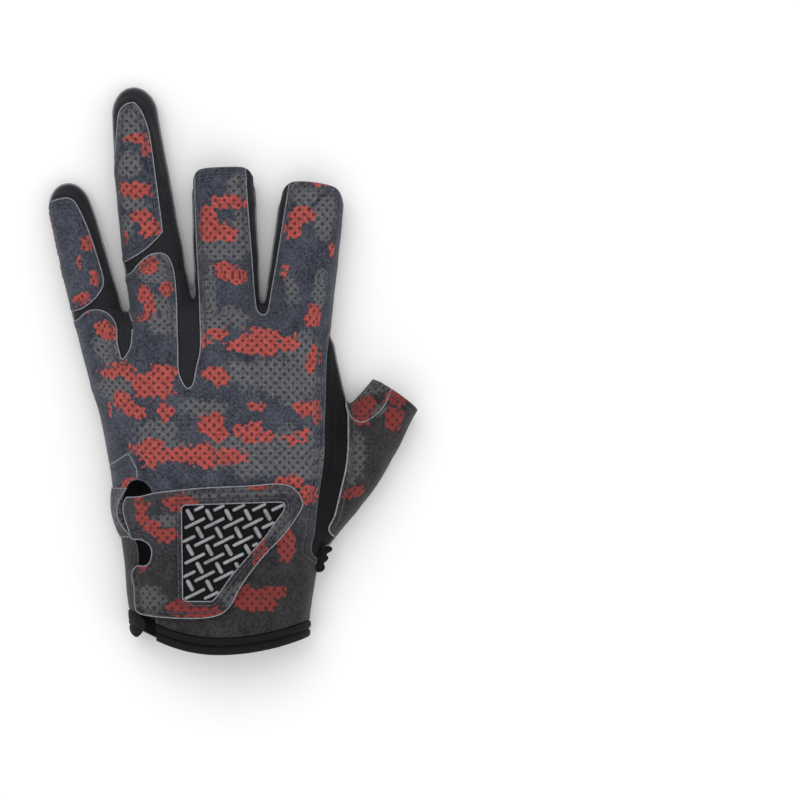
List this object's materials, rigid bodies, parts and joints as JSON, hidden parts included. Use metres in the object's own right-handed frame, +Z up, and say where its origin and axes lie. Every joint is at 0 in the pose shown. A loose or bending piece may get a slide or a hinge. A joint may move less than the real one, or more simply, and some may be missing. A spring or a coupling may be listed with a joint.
{
  "type": "fishing glove",
  "caption": "Camouflage fishing glove for the left hand with open thumb, index and middle tips, whole ring and little fingers, wrist strap and moulded badge, lying palm down.",
  "frame": {"origin": "on the surface that the glove lies on, under the middle of its plan outline", "axes": "+Y from the cuff towards the fingertips, +X towards the thumb, +Z up out of the back of the hand"},
  "size_m": [0.1478, 0.227, 0.0317],
  "materials": {
    "camo_suede": "matte",
    "palm_suede": "matte",
    "black_knit": "matte",
    "black_binding": "matte",
    "badge_rubber": "satin"
  },
  "bodies": {
    "root": {"palm_panel": "palm_suede", "back_panel": "camo_suede", "wrist_wrap": "camo_suede", "thumb_panel": "camo_suede", "thumb_web": "camo_suede", "ring_patch": "camo_suede", "little_patch": "camo_suede", "ring_knit": "black_knit", "little_knit": "black_knit", "index_knit": "black_knit", "side_gore": "black_knit", "wrist_ruffle": "black_knit", "cuff_binding": "black_binding", "binding_tail": "black_binding", "wrist_strap": "camo_suede", "strap_badge": "badge_rubber"}
  },
  "joints": []
}
